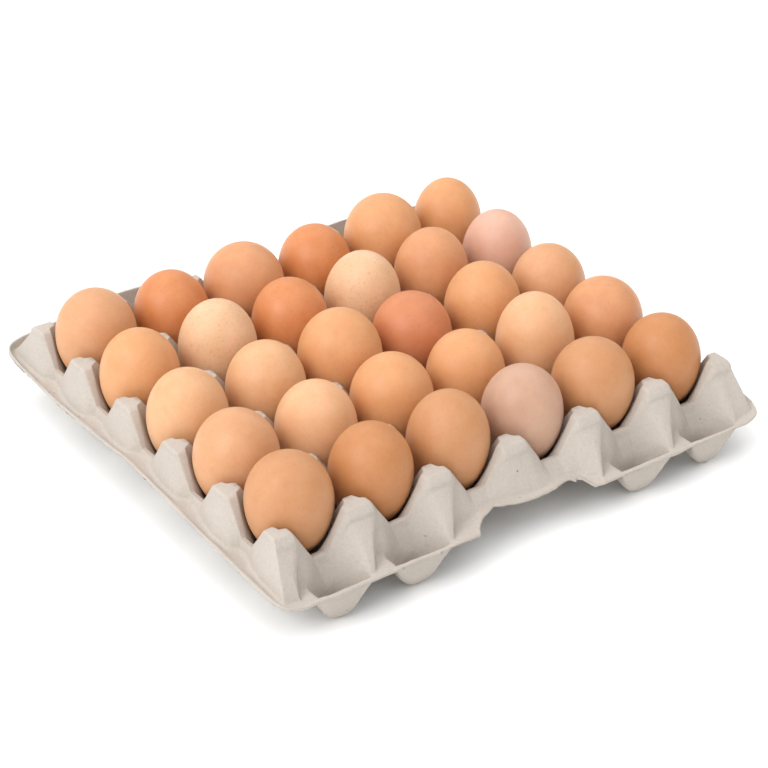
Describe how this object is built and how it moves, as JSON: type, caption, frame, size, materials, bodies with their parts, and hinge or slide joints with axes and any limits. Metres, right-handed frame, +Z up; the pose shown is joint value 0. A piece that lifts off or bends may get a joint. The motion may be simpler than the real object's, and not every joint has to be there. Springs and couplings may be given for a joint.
{
  "type": "egg tray with eggs",
  "caption": "Square moulded-pulp egg tray with truncated posts between its cups, low feet and finger notches, filled with brown hen's eggs.",
  "frame": {"origin": "middle of the tray, on the surface it stands on", "axes": "+Z up; X along the rows of six cups and the two sides with finger notches; Y along the rows of five cups"},
  "size_m": [0.3078, 0.287, 0.0781],
  "materials": {
    "pulp": "rough grey-beige moulded pulp",
    "shell_tan": "satin tan eggshell",
    "shell_pink": "satin pinkish eggshell",
    "shell_russet": "slightly glossy russet eggshell",
    "shell_rosy": "satin rosy brown eggshell",
    "shell_cream": "satin pale tan eggshell"
  },
  "bodies": {
    "root": {"tray": "pulp", "egg_1_1": "shell_tan", "egg_1_2": "shell_tan", "egg_1_3": "shell_tan", "egg_1_4": "shell_pink", "egg_1_5": "shell_tan", "egg_1_6": "shell_tan", "egg_2_1": "shell_tan", "egg_2_2": "shell_cream", "egg_2_3": "shell_tan", "egg_2_4": "shell_tan", "egg_2_5": "shell_cream", "egg_2_6": "shell_rosy", "egg_3_1": "shell_tan", "egg_3_2": "shell_tan", "egg_3_3": "shell_tan", "egg_3_4": "shell_rosy", "egg_3_5": "shell_tan", "egg_3_6": "shell_tan", "egg_4_1": "shell_tan", "egg_4_2": "shell_cream", "egg_4_3": "shell_russet", "egg_4_4": "shell_cream", "egg_4_5": "shell_rosy", "egg_4_6": "shell_pink", "egg_5_1": "shell_tan", "egg_5_2": "shell_russet", "egg_5_3": "shell_rosy", "egg_5_4": "shell_russet", "egg_5_5": "shell_tan", "egg_5_6": "shell_tan"}
  },
  "joints": []
}
